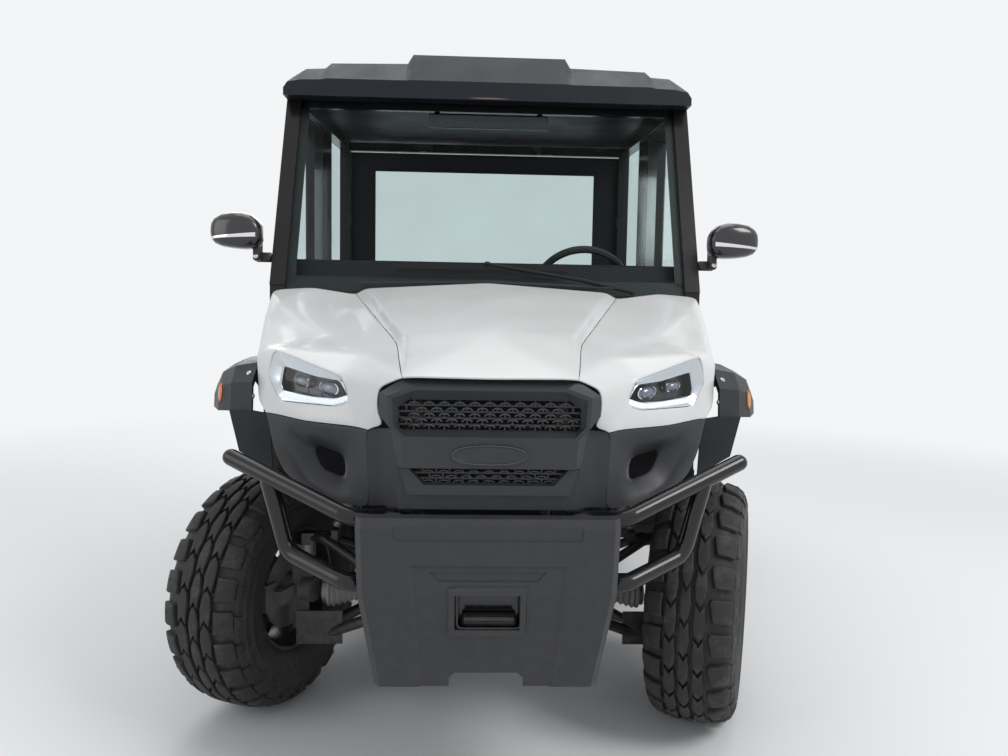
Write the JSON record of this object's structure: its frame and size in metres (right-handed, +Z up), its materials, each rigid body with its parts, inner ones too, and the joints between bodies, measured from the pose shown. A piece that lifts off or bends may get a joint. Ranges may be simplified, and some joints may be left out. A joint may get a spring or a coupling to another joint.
{
  "type": "side by side utility vehicle",
  "caption": "Off-road side by side utility vehicle with glazed cab, steered front wheels, opening doors, tilting cargo bed and drop-down tailgate.",
  "frame": {"origin": "on the ground, below the middle of the vehicle", "axes": "+Z up, -Y forward, +X to the vehicle's left"},
  "size_m": [1.796, 3.32, 2.099],
  "materials": {
    "black_case": "matt moulded case",
    "black_steel": "satin black powder coat",
    "grey_moulding": "grained dark grey moulding",
    "pillar_paint": "satin brown black paint",
    "tinted_glass": "lightly tinted",
    "dark_panel": "matt black panel",
    "spring_steel": "gloss black coil",
    "dark_trim": "grained trim",
    "white_body": "gloss off-white",
    "grey_casting": "plain casting",
    "gloss_black": "gloss black tube",
    "lamp_lens": "clear lens",
    "mirror_black": "gloss black",
    "black_roof": "semi gloss black",
    "seat_cover": "padded cover",
    "red_lens": "red lens",
    "tyre_rubber": "dusty rubber",
    "rim_paint": "satin black rim"
  },
  "bodies": {
    "chassis": {"battery_pack": "black_case", "bumper_cover": "grey_moulding", "cab_frame": "pillar_paint", "cab_glass": "tinted_glass", "cab_panels": "dark_panel", "dampers": "spring_steel", "dashboard": "dark_trim", "drive_units": "grey_casting", "floor_pan": "dark_panel", "frame": "black_steel", "front_flares": "grey_moulding", "front_wings": "white_body", "grille_mesh": "grey_moulding", "grille_surround": "grey_moulding", "guard_tubes": "gloss_black", "headlamps": "lamp_lens", "hood_panel": "white_body", "interior_mirror": "mirror_black", "roof_panel": "black_roof", "seat_backs": "seat_cover", "seat_cushions": "seat_cover", "side_fascias": "grey_moulding", "side_mirrors": "mirror_black", "steering_gear": "black_steel", "suspension_arms": "black_steel", "tail_lamps": "red_lens", "windscreen": "tinted_glass", "wiper": "mirror_black"},
    "knuckle_left": {"knuckle_left": "grey_casting"},
    "knuckle_right": {"knuckle_right": "grey_casting"},
    "wheel_front_left": {"rim_front_left": "rim_paint", "tyre_front_left": "tyre_rubber"},
    "wheel_front_right": {"rim_front_right": "rim_paint", "tyre_front_right": "tyre_rubber"},
    "wheel_rear_left": {"rim_rear_left": "rim_paint", "tyre_rear_left": "tyre_rubber"},
    "wheel_rear_right": {"rim_rear_right": "rim_paint", "tyre_rear_right": "tyre_rubber"},
    "steering_wheel": {"steering_wheel": "dark_trim"},
    "tie_rods": {"tie_rods": "black_steel"},
    "door_left": {"door_left": "white_body", "door_glass_left": "tinted_glass"},
    "door_right": {"door_right": "white_body", "door_glass_right": "tinted_glass"},
    "bed": {"cargo_bed": "grey_moulding", "bed_subframe": "black_steel", "rear_flares": "grey_moulding"},
    "tailgate": {"tailgate": "grey_moulding"}
  },
  "joints": [
    {"name": "steer_left", "type": "hinge", "parent": "chassis", "child": "knuckle_left", "pos_m": [0.512, -1.06, 0.336], "axis": [0, 0, 1], "range_deg": [-10, 54]},
    {"name": "steer_right", "type": "hinge", "parent": "chassis", "child": "knuckle_right", "pos_m": [-0.512, -1.06, 0.336], "axis": [0, 0, 1], "range_deg": [-10, 54]},
    {"name": "steering_wheel_turn", "type": "hinge", "parent": "chassis", "child": "steering_wheel", "pos_m": [0.35, -0.405, 1.235], "axis": [0, 0.848, 0.5299], "range_deg": [-84, 440]},
    {"name": "rack_slide", "type": "slide", "parent": "chassis", "child": "tie_rods", "axis": [1, 0, 0], "range_m": [-0.102, 0.02]},
    {"name": "spin_front_left", "type": "hinge", "parent": "knuckle_left", "child": "wheel_front_left", "pos_m": [0.62604, -1.10608, 0.336], "axis": [0.9272, -0.3746, 0], "continuous": true},
    {"name": "spin_front_right", "type": "hinge", "parent": "knuckle_right", "child": "wheel_front_right", "pos_m": [-0.62604, -1.01392, 0.336], "axis": [0.9272, -0.3746, 0], "continuous": true},
    {"name": "spin_rear_left", "type": "hinge", "parent": "chassis", "child": "wheel_rear_left", "pos_m": [0.635, 1.02, 0.336], "axis": [1, 0, 0], "continuous": true},
    {"name": "spin_rear_right", "type": "hinge", "parent": "chassis", "child": "wheel_rear_right", "pos_m": [-0.635, 1.02, 0.336], "axis": [1, 0, 0], "continuous": true},
    {"name": "door_left_hinge", "type": "hinge", "parent": "chassis", "child": "door_left", "pos_m": [0.724, -0.627, 0.8], "axis": [0, 0, -1], "range_deg": [0, 62]},
    {"name": "door_right_hinge", "type": "hinge", "parent": "chassis", "child": "door_right", "pos_m": [-0.724, -0.627, 0.8], "axis": [0, 0, 1], "range_deg": [0, 62]},
    {"name": "bed_tilt", "type": "hinge", "parent": "chassis", "child": "bed", "pos_m": [0, 1.52, 0.73], "axis": [-1, 0, 0], "range_deg": [0, 40]},
    {"name": "tailgate_drop", "type": "hinge", "parent": "bed", "child": "tailgate", "pos_m": [0, 1.63, 0.8535], "axis": [-1, 0, 0], "range_deg": [0, 90]}
  ],
  "couplings": [
    {"joint": "steer_right", "follows": "steer_left", "ratio": 1},
    {"joint": "steering_wheel_turn", "follows": "steer_left", "ratio": 8},
    {"joint": "rack_slide", "follows": "steer_left", "m_per_rad": -0.105}
  ]
}
